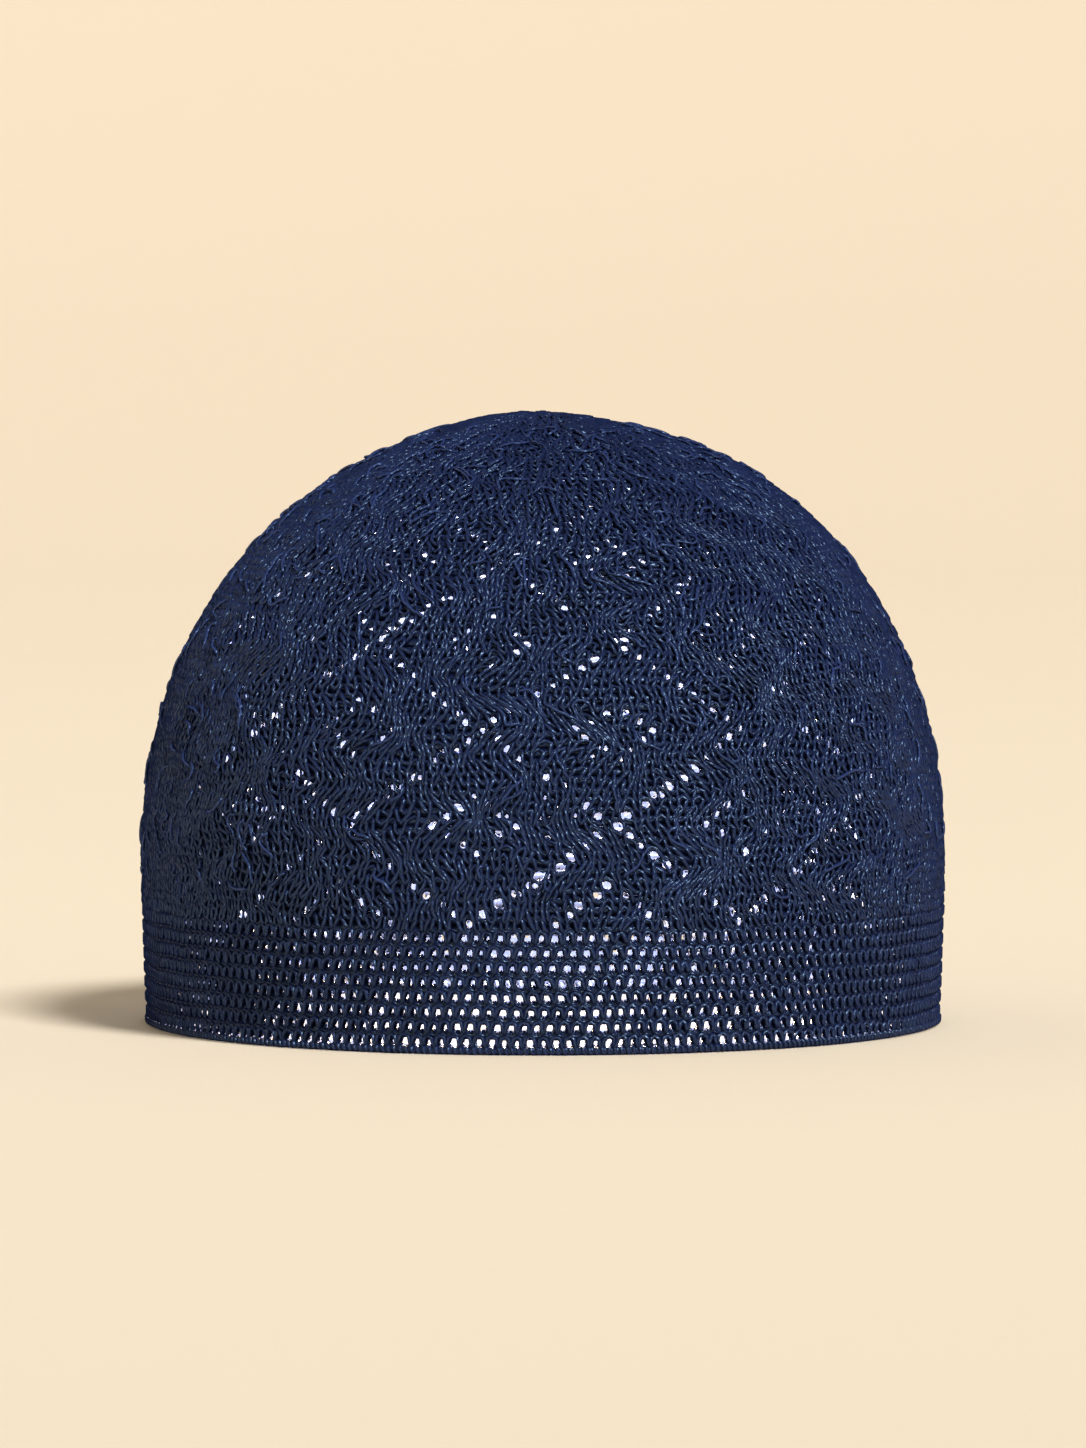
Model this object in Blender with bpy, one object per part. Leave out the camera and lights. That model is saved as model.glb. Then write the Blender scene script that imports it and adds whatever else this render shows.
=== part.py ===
"""Crocheted prayer cap, resting on its rim.

One thread is worked in rounds from the top centre down to the rim: a domed crown with a diamond
lattice of eyelets, an openwork band below it, and two firm edging rounds at the rim. Sizes are
in metres, +Z is up, the front of the cap faces -Y, and the origin is the middle of the rim's
footprint on the surface that the cap stands on.
"""

import math

import bmesh
import bpy
from mathutils import Vector

# Overall form
OUTER_WIDTH = 0.162  # side to side, at the widest height
OUTER_DEPTH = 0.194  # front to back, at the widest height
SIDE_HEIGHT = 0.033  # the nearly straight side, from the rim up to the widest height
DOME_HEIGHT = 0.089  # from the widest height to the top, without the peak
DOME_FULLNESS = 2.12  # 2 is a plain ellipse, more is fuller at the shoulders
RIM_TAPER = 0.0010  # how far the side draws in at the rim, on each side
PEAK_RISE = 0.0014  # the soft peak where the first rounds were drawn tight
PEAK_SPREAD = 0.016
PEAK_OFFSET = -0.004  # the peak sits a little to the left of the middle, seen from the front

# Fabric
CROWN_WALL = 0.0018  # thickness of the crown's dense stitches
BAND_WALL = 0.0016  # thickness of the openwork band
BAND_FOOT = 0.0020  # height of the band's lowest round above the surface
BAND_TOP = 0.0240  # height where the band ends and the crown begins
ROUND_GAP = 0.0003  # clearance between two pieces that meet
EDGE_THICKNESS = 0.0026  # the firm edging stands a little proud of the band
EDGE_ROUNDING = 0.0005

# Lattice of eyelets
REPEATS = 10  # diamonds round the cap
LATTICE_CLEARANCE = 0.0015  # along the fabric, from the band's top to the lowest corners
HALF_RISE = 0.0190  # along the fabric, from a diamond's lower corner to its widest
LATTICE_START = -0.0265  # place of one lower corner, as a share of a turn from the front
LATTICE_LEAN = 0.0040  # share of a turn that the diamonds lean by over their height
EYELET_WIDTH = 0.0018
EYELET_SIDES = 6
CUT_RISES = (0.0, 0.3, 0.7, 1.0, 1.3, 1.7, 2.0)  # rows of cut eyelets, as shares of HALF_RISE

# Fineness of the faceted solids
COLUMNS = 60
BAND_RINGS = 3
CROWN_RINGS = 15
TABLE_STEPS = 240

# Gentle swells of the fabric: place round the cap as a share of a turn from the front, seen from
# above and counted to the right, height as a share of the whole height, and rise as a share of
# SWELL_RISE, where a minus sign is a dent
SWELL_RISE = 0.0009
SWELL_SPREAD = 0.030
SWELLS = (
    {"turn": 0.20, "height": 0.84, "rise": 1.0},
    {"turn": -0.21, "height": 0.86, "rise": -0.8},
    {"turn": 0.05, "height": 0.97, "rise": -0.2},
    {"turn": 0.42, "height": 0.72, "rise": 0.6},
    {"turn": -0.40, "height": 0.70, "rise": -0.7},
    {"turn": -0.08, "height": 0.62, "rise": 0.4},
)

NAVY = (0.022, 0.032, 0.085, 1.0)
DEEP_NAVY = (0.017, 0.025, 0.070, 1.0)


def side_share(height):
    """How wide the cap is at a height on the side, as a share of its widest."""
    below = 1.0 - min(height / SIDE_HEIGHT, 1.0)
    return 1.0 - 2.0 * RIM_TAPER / OUTER_WIDTH * below * below


def dome_section(angle):
    """Width share and height on the dome, for an angle from 0 at its foot to a quarter turn."""
    bend = 2.0 / DOME_FULLNESS
    share = max(math.cos(angle), 0.0) ** bend
    height = SIDE_HEIGHT + DOME_HEIGHT * math.sin(angle) ** bend
    return share, height


def profile_table():
    """Rows of (length along the fabric from the rim, width share, height), rim to top."""
    sections = []
    for step in range(TABLE_STEPS):
        height = SIDE_HEIGHT * step / TABLE_STEPS
        sections.append((side_share(height), height))
    for step in range(TABLE_STEPS + 1):
        sections.append(dome_section(math.pi / 2.0 * step / TABLE_STEPS))
    mean_radius = (OUTER_WIDTH + OUTER_DEPTH) / 4.0
    rows = [(0.0,) + sections[0]]
    for share, height in sections[1:]:
        length, last_share, last_height = rows[-1]
        length += math.hypot((share - last_share) * mean_radius, height - last_height)
        rows.append((length, share, height))
    return rows


def rim_table():
    """Rows of (share of the way round, angle) that space points evenly round the oval."""
    rows = [(0.0, 0.0)]
    for step in range(1, TABLE_STEPS + 1):
        angle = 2.0 * math.pi * (step - 0.5) / TABLE_STEPS
        across = OUTER_WIDTH / 2.0 * math.cos(angle)
        along = OUTER_DEPTH / 2.0 * math.sin(angle)
        length = rows[-1][0] + math.hypot(across, along)
        rows.append((length, 2.0 * math.pi * step / TABLE_STEPS))
    whole = rows[-1][0]
    return [(length / whole, angle) for length, angle in rows]


def between(rows, key):
    """The values of a table's row at key, its first column, by straight interpolation."""
    low, high = 0, len(rows) - 1
    while high - low > 1:
        middle = (low + high) // 2
        if rows[middle][0] <= key:
            low = middle
        else:
            high = middle
    first, last = rows[low], rows[high]
    share = (key - first[0]) / (last[0] - first[0])
    return [a + share * (b - a) for a, b in zip(first[1:], last[1:])]


PROFILE = profile_table()
ROUND = rim_table()


def length_at_height(height):
    """Length along the fabric from the rim up to a height."""
    return between([(row[2], row[0]) for row in PROFILE], height)[0]


def lengths_between(low, high, steps):
    """Evenly spaced lengths along the fabric, both ends included."""
    return [low + (high - low) * step / steps for step in range(steps + 1)]


def swell_at(point):
    """Outward move of the fabric at a point, from the table of swells."""
    move = 0.0
    for swell in SWELLS:
        height = swell["height"] * (SIDE_HEIGHT + DOME_HEIGHT)
        share = share_at_height(height)
        centre = oval_point(swell["turn"], share, height)
        distance = (point - centre).length
        move += swell["rise"] * SWELL_RISE * math.exp(-((distance / SWELL_SPREAD) ** 2))
    return move


def share_at_height(height):
    """Width share at a height above the rim, on the side or the dome."""
    if height <= SIDE_HEIGHT:
        return side_share(height)
    up = (height - SIDE_HEIGHT) / DOME_HEIGHT
    return (1.0 - up**DOME_FULLNESS) ** (1.0 / DOME_FULLNESS)


def oval_point(turn, share, height):
    """Point on the plain form: turn is a share of the way round from the front."""
    angle = between(ROUND, turn % 1.0)[0]
    across = OUTER_WIDTH / 2.0 * share * math.sin(angle)
    along = -OUTER_DEPTH / 2.0 * share * math.cos(angle)
    return Vector((across, along, height))


def outward(point):
    """Direction straight out of the plain form at a point on it."""
    half_width, half_depth = OUTER_WIDTH / 2.0, OUTER_DEPTH / 2.0
    up = max(point.z - SIDE_HEIGHT, 0.0) / DOME_HEIGHT
    flat = Vector((point.x / half_width**2, point.y / half_depth**2, 0.0))
    share = math.sqrt((point.x / half_width) ** 2 + (point.y / half_depth) ** 2)
    flat *= max(share, 1e-6) ** (DOME_FULLNESS - 2.0)
    steep = up ** (DOME_FULLNESS - 1.0) / DOME_HEIGHT
    return (flat + Vector((0.0, 0.0, steep))).normalized()


def fabric_point(turn, share, height):
    """Point on the outer face of the fabric, with its swells and the soft peak."""
    point = oval_point(turn, share, height)
    point += outward(point) * swell_at(point)
    away = math.hypot(point.x - PEAK_OFFSET, point.y) / PEAK_SPREAD
    point.z += PEAK_RISE * math.exp(-away * away)
    return point


def add_ring(mesh, length):
    """One closed ring of vertices round the cap, at a length along the fabric from the rim."""
    share, height = between(PROFILE, length)
    return [
        mesh.verts.new(fabric_point(column / COLUMNS, share, height)) for column in range(COLUMNS)
    ]


def join_rings(mesh, lower, upper):
    """Faces between two rings, pointing outwards."""
    for column in range(COLUMNS):
        after = (column + 1) % COLUMNS
        mesh.faces.new((lower[column], lower[after], upper[after], upper[column]))


def fabric_material(name, colour):
    """Matt cotton thread."""
    material = bpy.data.materials.new(name)
    material.use_nodes = True
    shader = material.node_tree.nodes["Principled BSDF"]
    shader.inputs["Base Color"].default_value = colour
    shader.inputs["Roughness"].default_value = 0.75
    shader.inputs["Metallic"].default_value = 0.0
    material.diffuse_color = colour
    return material


def add_object(name, mesh, material):
    """A named object from a bmesh, shaded smooth apart from its real edges."""
    data = bpy.data.meshes.new(name)
    mesh.to_mesh(data)
    mesh.free()
    data.materials.append(material)
    data.shade_smooth()
    data.set_sharp_from_angle(angle=math.radians(40.0))
    piece = bpy.data.objects.new(name, data)
    bpy.context.scene.collection.objects.link(piece)
    return piece


def give_thickness(piece, thickness):
    """Solidify the outer face inwards."""
    solid = piece.modifiers.new("fabric thickness", "SOLIDIFY")
    solid.thickness = thickness
    solid.offset = -1.0
    solid.use_even_offset = True


def build_crown(parent):
    """The dome of dense stitches, from the band up to the top centre."""
    mesh = bmesh.new()
    foot = length_at_height(BAND_TOP + ROUND_GAP)
    lengths = lengths_between(foot, PROFILE[-1][0], CROWN_RINGS)
    rings = [add_ring(mesh, length) for length in lengths[:-1]]
    for lower, upper in zip(rings, rings[1:]):
        join_rings(mesh, lower, upper)
    top = mesh.verts.new(fabric_point(0.0, 0.0, SIDE_HEIGHT + DOME_HEIGHT))
    for column in range(COLUMNS):
        mesh.faces.new((rings[-1][column], rings[-1][(column + 1) % COLUMNS], top))
    crown = add_object("crown", mesh, fabric_material("crown thread", NAVY))
    crown.parent = parent
    give_thickness(crown, CROWN_WALL)
    return crown


def build_band(parent):
    """The ring of openwork mesh between the crown and the edging."""
    mesh = bmesh.new()
    foot, top = length_at_height(BAND_FOOT), length_at_height(BAND_TOP)
    rings = [add_ring(mesh, length) for length in lengths_between(foot, top, BAND_RINGS)]
    for lower, upper in zip(rings, rings[1:]):
        join_rings(mesh, lower, upper)
    band = add_object("mesh_band", mesh, fabric_material("band thread", NAVY))
    band.parent = parent
    give_thickness(band, BAND_WALL)
    return band


def edge_section():
    """Cross-section of the edging as (distance out from the wall's middle, height)."""
    half = EDGE_THICKNESS / 2.0
    top = BAND_FOOT - ROUND_GAP
    cut = EDGE_ROUNDING
    return (
        (half - cut, 0.0),
        (half, cut),
        (half, top - cut),
        (half - cut, top),
        (cut - half, top),
        (-half, top - cut),
        (-half, cut),
        (cut - half, 0.0),
    )


def build_edging(parent):
    """The firm edging rounds, with a flat foot on the surface."""
    mesh = bmesh.new()
    section = edge_section()
    rings = []
    for column in range(COLUMNS):
        turn = column / COLUMNS
        ring = []
        for out, height in section:
            wall = oval_point(turn, side_share(height), height)
            direction = outward(wall)
            middle = wall - direction * BAND_WALL / 2.0
            place = middle + direction * out
            ring.append(mesh.verts.new((place.x, place.y, height)))
        rings.append(ring)
    for column, ring in enumerate(rings):
        after = rings[(column + 1) % COLUMNS]
        for corner in range(len(section)):
            beside = (corner + 1) % len(section)
            mesh.faces.new((ring[corner], after[corner], after[beside], ring[beside]))
    edging = add_object("rim_edging", mesh, fabric_material("edging thread", DEEP_NAVY))
    edging.parent = parent
    return edging


def lattice_eyelets():
    """Places of the cut eyelets as (share of a turn, length along the fabric)."""
    places = []
    foot = length_at_height(BAND_TOP) + LATTICE_CLEARANCE
    half_turn = 0.5 / REPEATS
    for repeat in range(REPEATS):
        corner = LATTICE_START + repeat / REPEATS
        for rise in CUT_RISES:
            spread = half_turn * (1.0 - abs(1.0 - rise))
            lean = LATTICE_LEAN * rise / 2.0
            # Two diamonds share each side corner, and one eyelet stands in a diamond's middle
            sides = {0.0, spread} if rise == 1.0 else {-spread, spread}
            for side in sorted(sides):
                places.append((corner + lean + side, foot + rise * HALF_RISE))
    return places


def build_eyelet_cutters(parent):
    """All eyelets as one hidden mesh of short prisms standing across the wall."""
    mesh = bmesh.new()
    reach = 3.0 * CROWN_WALL
    for turn, length in lattice_eyelets():
        share, height = between(PROFILE, length)
        centre = fabric_point(turn, share, height)
        direction = outward(oval_point(turn, share, height))
        turned = direction.to_track_quat("Z", "Y").to_matrix().to_4x4()
        turned.translation = centre - direction * CROWN_WALL / 2.0
        bmesh.ops.create_cone(
            mesh,
            cap_ends=True,
            segments=EYELET_SIDES,
            radius1=EYELET_WIDTH / 2.0,
            radius2=EYELET_WIDTH / 2.0,
            depth=reach,
            matrix=turned,
        )
    cutters = add_object("eyelet_cutters", mesh, fabric_material("cutter", NAVY))
    cutters.parent = parent
    cutters.hide_render = True
    cutters.display_type = "WIRE"
    return cutters


def build_cap():
    """The whole cap under one empty at the middle of its footprint."""
    for old in list(bpy.data.objects):
        bpy.data.objects.remove(old)
    footprint = bpy.data.objects.new("cap_footprint", None)
    bpy.context.scene.collection.objects.link(footprint)
    crown = build_crown(footprint)
    cut = crown.modifiers.new("eyelets", "BOOLEAN")
    cut.operation = "DIFFERENCE"
    cut.solver = "EXACT"
    cut.object = build_eyelet_cutters(footprint)
    build_band(footprint)
    build_edging(footprint)


build_cap()
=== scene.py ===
"""Crocheted prayer cap, worked round by round from one navy cotton thread.

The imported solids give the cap's size and place. Sizes are in metres. A place on the cap is given
as turn, a share of the way round from the front, and length, the distance up from the rim along
the fabric.
"""

import bpy
import numpy as np
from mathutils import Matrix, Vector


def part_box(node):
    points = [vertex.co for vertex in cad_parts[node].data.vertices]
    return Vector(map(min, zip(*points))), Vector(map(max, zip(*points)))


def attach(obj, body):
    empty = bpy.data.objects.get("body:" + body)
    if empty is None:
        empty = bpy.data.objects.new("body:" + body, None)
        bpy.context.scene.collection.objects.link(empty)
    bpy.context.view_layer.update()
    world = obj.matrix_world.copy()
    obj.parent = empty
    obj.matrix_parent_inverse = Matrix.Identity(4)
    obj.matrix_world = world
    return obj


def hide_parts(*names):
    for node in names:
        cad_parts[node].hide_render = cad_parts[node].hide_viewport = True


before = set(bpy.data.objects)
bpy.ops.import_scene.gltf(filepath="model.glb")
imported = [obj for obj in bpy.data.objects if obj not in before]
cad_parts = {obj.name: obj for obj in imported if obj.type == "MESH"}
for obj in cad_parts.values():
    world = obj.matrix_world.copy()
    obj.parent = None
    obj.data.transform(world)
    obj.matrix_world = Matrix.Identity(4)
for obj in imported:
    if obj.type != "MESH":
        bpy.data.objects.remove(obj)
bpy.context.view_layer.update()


# The crown
# A dome of close crochet in navy cotton, worked in rounds from the top centre down. Each stitch is
# an upright loop hooked over the round below, and the hand's slack leaves swells and a small peak.
crown_low, crown_high = (np.array(corner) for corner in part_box("crown"))
half_width, half_depth = (crown_high - crown_low)[:2] / 2.0
SIDE_HEIGHT = 0.033
DOME_FULLNESS = 2.12
SIDE_POINTS, ARC_POINTS = 200, 3000
RIM_TAPER = 0.0010
PEAK_RISE = 0.0014
PEAK_SPREAD = 0.016
PEAK_OFFSET = -0.004
dome_height = crown_high[2] - PEAK_RISE - SIDE_HEIGHT
SWELL_RISE = 0.0009
SWELL_SPREAD = 0.030
SWELLS = (
    {"turn": 0.20, "height": 0.84, "rise": 1.0},
    {"turn": -0.21, "height": 0.86, "rise": -0.8},
    {"turn": 0.05, "height": 0.97, "rise": -0.2},
    {"turn": 0.42, "height": 0.72, "rise": 0.6},
    {"turn": -0.40, "height": 0.70, "rise": -0.7},
    {"turn": -0.08, "height": 0.62, "rise": 0.4},
)


def worked_profile():
    """Length along the fabric, width share and height, from the rim to the top: the side draws
    in at the rim as a square, and the dome is a quarter of a superellipse."""
    rise = np.linspace(0.0, 1.0, SIDE_POINTS, endpoint=False)
    side = 1.0 - RIM_TAPER / half_width * (1.0 - rise) ** 2
    angle = np.linspace(0.0, np.pi / 2.0, ARC_POINTS)
    bend = 2.0 / DOME_FULLNESS
    share = np.concatenate([side, np.cos(angle).clip(0.0) ** bend])
    height = np.concatenate([SIDE_HEIGHT * rise, SIDE_HEIGHT + dome_height * np.sin(angle) ** bend])
    step = np.hypot(np.diff(share) * (half_width + half_depth) / 2.0, np.diff(height))
    return np.concatenate([[0.0], np.cumsum(step)]), share, height


def oval_turns():
    """Share of the way round against angle, in even steps along the oval, and its whole length."""
    angle = np.linspace(0.0, 2.0 * np.pi, ARC_POINTS + 1)
    middle = (angle[1:] + angle[:-1]) / 2.0
    step = np.hypot(half_width * np.cos(middle), half_depth * np.sin(middle)) * np.diff(angle)
    walked = np.concatenate([[0.0], np.cumsum(step)])
    return walked / walked[-1], angle, walked[-1]


profile_length, profile_share, profile_height = worked_profile()
fabric_length = profile_length[-1]
oval_turn, oval_angle, full_round = oval_turns()


def plain_form(turn, length):
    """Points and outward directions of the dome before its swells: a superellipsoid."""
    share = np.interp(length, profile_length, profile_share)
    height = np.interp(length, profile_length, profile_height)
    angle = np.interp(turn % 1.0, oval_turn, oval_angle)
    across, along = np.sin(angle), -np.cos(angle)
    point = np.stack([half_width * share * across, half_depth * share * along, height], axis=-1)
    flat = np.maximum(share, 1e-4) ** (DOME_FULLNESS - 1.0)
    climb = np.clip((height - SIDE_HEIGHT) / dome_height, 0.0, 1.0) ** (DOME_FULLNESS - 1.0)
    outward = np.stack(
        [flat * across / half_width, flat * along / half_depth, climb / dome_height], axis=-1
    )
    return point, outward / np.linalg.norm(outward, axis=-1, keepdims=True)


def swell_centres():
    """The middle of each swell on the plain form."""
    top = SIDE_HEIGHT + dome_height
    turns = np.array([swell["turn"] for swell in SWELLS])
    heights = np.array([swell["height"] * top for swell in SWELLS])
    return plain_form(turns, np.interp(heights, profile_height, profile_length))[0]


swell_middles = swell_centres()


def fabric(turn, length, out=0.0):
    """Points and outward directions, at a distance out from the fabric's outer face: the plain
    form, moved along its normal by bell-shaped swells and lifted by a bell-shaped peak."""
    point, outward = plain_form(turn, length)
    move = np.zeros(point.shape[:-1]) + out
    for swell, middle in zip(SWELLS, swell_middles):
        away = np.linalg.norm(point - middle, axis=-1) / SWELL_SPREAD
        move = move + SWELL_RISE * swell["rise"] * np.exp(-(away**2))
    point = point + outward * move[..., None]
    away = np.hypot(point[..., 0] - PEAK_OFFSET, point[..., 1]) / PEAK_SPREAD
    point[..., 2] += PEAK_RISE * np.exp(-(away**2))
    return point, outward


FIELD_WAVES = 18
DRIFTS = (
    {"seed": 11, "size": 0.00150, "round": 0.040, "climb": 0.019},
    {"seed": 14, "size": 0.00026, "round": 0.009, "climb": 0.0055},
)
SAG = 0.00028
SAG_ROUND, SAG_CLIMB = 0.030, 0.050
STEADY_TOP, LOOSE_FOOT = 0.022, 0.034
STEADY_SHARE = 0.28
SAG_SEED = 12
NARROWEST_SHARE = 0.01


def wander(seed, turn, length, round_wave, climb_wave):
    """Smooth random field of about unit size: a sum of sine waves that close round the cap."""
    hand = np.random.default_rng(seed)
    field = np.zeros(np.broadcast(turn, length).shape)
    for _ in range(FIELD_WAVES):
        laps = np.round(hand.normal() * full_round / round_wave)
        climbs = hand.normal() / climb_wave
        field += np.sin(2.0 * np.pi * (laps * turn + climbs * length + hand.random()))
    return field * np.sqrt(2.0 / FIELD_WAVES)


def worked_moves(turn, length):
    """How far the uneven hand moves a place of the chart: sideways as a share of a turn, and up.
    The mesh band near the rim stays steadier than the crown."""
    loose = np.clip((length - STEADY_TOP) / (LOOSE_FOOT - STEADY_TOP), 0.0, 1.0)
    loose = STEADY_SHARE + (1.0 - STEADY_SHARE) * loose * loose * (3.0 - 2.0 * loose)
    aside = sum(
        drift["size"] * wander(drift["seed"], turn, length, drift["round"], drift["climb"])
        for drift in DRIFTS
    )
    up = wander(SAG_SEED, turn, length, SAG_ROUND, SAG_CLIMB)
    return loose * aside / full_round, loose * SAG * up


def as_worked(turn, length):
    """A place of the chart where the uneven hand puts it."""
    aside, up = worked_moves(turn, length)
    return turn + aside, length + up


def around_at(length):
    """Length of the fabric once round the cap at a length up from the rim."""
    share = np.interp(length, profile_length, profile_share)
    return full_round * np.maximum(share, NARROWEST_SHARE)


FIRST_ROUND = 0.0255
ROUND_RISE = 0.0019
STITCH_WIDTH = 0.0028
SECTORS = 10
TOP_REST = 0.0016
ROUND_BIAS = 0.05
FEWEST_TENS, FEWEST_STITCHES = 3, 6
round_lengths = np.arange(FIRST_ROUND, fabric_length - TOP_REST, ROUND_RISE)


def stitch_counts(lengths):
    """Stitches in each round: whole tens while the round is wide, at least six at the top."""
    fitted = around_at(lengths) / STITCH_WIDTH
    tens = SECTORS * np.round(fitted / SECTORS)
    few = np.maximum(np.round(fitted), FEWEST_STITCHES)
    return np.where(tens >= FEWEST_TENS * SECTORS, tens, few).astype(int)


round_stitches = stitch_counts(round_lengths)
round_phases = ROUND_BIAS * np.arange(len(round_lengths))

# The eyelets of the crown, by the radius of the hole: ten spirals each way cross as a lattice, the
# cells of its first four tiers hold a small diamond each, and each half cell at the foot a chevron.
# Lines that climb to the right are more open, with some twins. Lines and diamonds get finer upwards.
LATTICE_START = -0.0265
LATTICE_LEAN = 0.0002
LATTICE_STEP = 0.005
HALF_STEPS = 10
LATTICE_STEPS = 66
RIGHT_LINE, LEFT_LINE, TWIN = 0.00072, 0.00062, 0.00048
LINE_TIGHTENING, RING_TIGHTENING = 0.50, 0.10
LINE_UNEVENNESS = 0.08
CLOSED_LOW, CLOSED_RISE = 0.05, 0.30
TWIN_SHARE = 0.45
RING_STEPS = 3
RING_TIERS = (1, 2, 3, 4)
RING_EYELET = 0.00060
RING_CLOSED = 0.10
CHEVRON_STEPS = 4
CHEVRON_EYELET = 0.00058
PINHOLE = 0.00034
PINHOLES = 110
PINHOLE_REACH, PINHOLE_SINK = 0.75, 1.3
FIELD_TIERS = (1,)
FIELD_PLACES = ((4, 1), (4, 3), (5, -1), (5, 1), (5, 3), (6, 0), (6, 2), (7, 1))
EYELET_SPREAD, SPREAD_LIMIT = 0.14, 1.6
HOOKING_PASSES, ROW_KEY = 8, 1000


def lattice_rows(hand, corner):
    """The two lattice lines that start at one corner, the right one with its twins."""
    step = np.arange(LATTICE_STEPS)
    rows = []
    for side, radius in ((1.0, RIGHT_LINE), (-1.0, LEFT_LINE)):
        size = radius * (1.0 + LINE_UNEVENNESS * hand.normal())
        size = size * (1.0 - LINE_TIGHTENING * step / LATTICE_STEPS)
        turn = corner + LATTICE_LEAN * step + side * LATTICE_STEP * step
        kept = hand.random(LATTICE_STEPS) > CLOSED_LOW + CLOSED_RISE * step / LATTICE_STEPS
        rows.append(np.stack([turn, step, size], axis=1)[kept])
        if side > 0.0:
            double = kept & (hand.random(LATTICE_STEPS) < TWIN_SHARE)
            twin = np.stack([turn + 0.5 * LATTICE_STEP, step, np.full(len(step), TWIN)], axis=1)
            rows.append(twin[double])
    return rows


def eyelet_chart(hand):
    """Rows of (turn, round, hole radius) for every eyelet of the pattern."""
    rows = []
    for sector in range(SECTORS):
        corner = LATTICE_START + sector / SECTORS
        rows += lattice_rows(hand, corner)
        for tier in RING_TIERS:
            centre = HALF_STEPS * tier
            middle = corner + LATTICE_LEAN * centre + (0.5 / SECTORS if tier % 2 == 0 else 0.0)
            across = np.arange(-RING_STEPS, RING_STEPS + 1)
            for side in (-1, 1):
                climb = centre + side * (RING_STEPS - np.abs(across))
                size = np.full(len(across), RING_EYELET * (1.0 - RING_TIGHTENING * (tier - 1)))
                ring = np.stack([middle + LATTICE_STEP * across, climb, size], axis=1)
                rows.append(ring[hand.random(len(ring)) > RING_CLOSED])
            if tier in FIELD_TIERS:
                beside, above = np.array(FIELD_PLACES).T
                size = np.full(len(beside), PINHOLE)
                turn = middle + LATTICE_STEP * beside
                rows.append(np.stack([turn, centre + above, size], axis=1))
        across = np.arange(-CHEVRON_STEPS, CHEVRON_STEPS + 1)
        turn = corner + 0.5 / SECTORS + LATTICE_STEP * across
        size = np.full(len(across), CHEVRON_EYELET)
        rows.append(np.stack([turn, CHEVRON_STEPS - np.abs(across), size], axis=1))
    pins = np.stack(
        [
            hand.random(PINHOLES),
            np.floor(hand.random(PINHOLES) ** PINHOLE_SINK * PINHOLE_REACH * len(round_lengths)),
            np.full(PINHOLES, PINHOLE),
        ],
        axis=1,
    )
    chart = np.concatenate(rows + [pins])
    chart[:, 2] *= 1.0 + EYELET_SPREAD * hand.normal(size=len(chart)).clip(-SPREAD_LIMIT, SPREAD_LIMIT)
    return chart


def hooked_eyelets(chart):
    """Each eyelet moved into the nearest space under or over a loop of its round, where the
    thread can part. Columns: turn in the chart, round, hole radius."""
    row = chart[:, 1].astype(int)
    count, phase, turn = round_stitches[row], round_phases[row], chart[:, 0]
    for _ in range(HOOKING_PASSES):
        turn = (turn + chart[:, 0] - worked_moves(turn, round_lengths[row])[0]) / 2.0
    half = np.round((turn * count - phase) * 2.0)
    _, first = np.unique(row * ROW_KEY + half % (2 * count), return_index=True)
    return np.stack([(half / 2.0 + phase) / count, row, chart[:, 2]], axis=1)[first]


crown_eyelets = hooked_eyelets(eyelet_chart(np.random.default_rng(21)))
THREAD_CLEAR = 0.00040
PART_SIDEWAYS, PART_UPWARDS = 1.14, 0.74
PART_REACH = 2.6
DRAWN_REACH, DRAWN_THIN = 1.5, 0.26


def worked_eyelets(turn, length, radius):
    """Where eyelets of the chart lie as worked. Columns: turn, length, ring of the thread."""
    turn, length = as_worked(turn, length)
    return np.stack([turn % 1.0, length, radius + THREAD_CLEAR], axis=1)


def parted(turn, length, eyelets):
    """Thread pushed aside by the eyelets near it: a distance d from an eyelet's middle grows to
    the root of d squared plus its ring squared, fading out at a few rings away. The third result
    is the thread's fineness there, because the pull of an eyelet draws it thinner."""
    around = around_at(length)
    reach = PART_REACH * eyelets[:, 2].max()
    near = eyelets[(eyelets[:, 1] > length.min() - reach) & (eyelets[:, 1] < length.max() + reach)]
    if not len(near):
        return turn, length, np.ones(len(turn))
    aside = ((turn[:, None] - near[:, 0] + 0.5) % 1.0 - 0.5) * around[:, None]
    above = length[:, None] - near[:, 1]
    distance = np.maximum(np.hypot(aside, above), 1e-6)
    ring = near[:, 2]
    fade = np.exp(-((distance / (PART_REACH * ring)) ** 4))
    push = (np.hypot(distance, ring) / distance - 1.0) * fade
    turn = turn + (aside * push).sum(axis=1) * PART_SIDEWAYS / around
    drawn = np.exp(-((distance / (DRAWN_REACH * ring)) ** 4)).max(axis=1)
    return turn, length + (above * push).sum(axis=1) * PART_UPWARDS, 1.0 - DRAWN_THIN * drawn


def uneven(hand, stitches, samples):
    """One random number for each stitch, joined by straight runs between their middles."""
    marks = hand.normal(size=stitches).clip(-2.0, 2.0)
    t = np.arange(stitches * samples) / samples
    return np.interp(t, np.arange(stitches + 1), np.append(marks, marks[0]))


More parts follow.
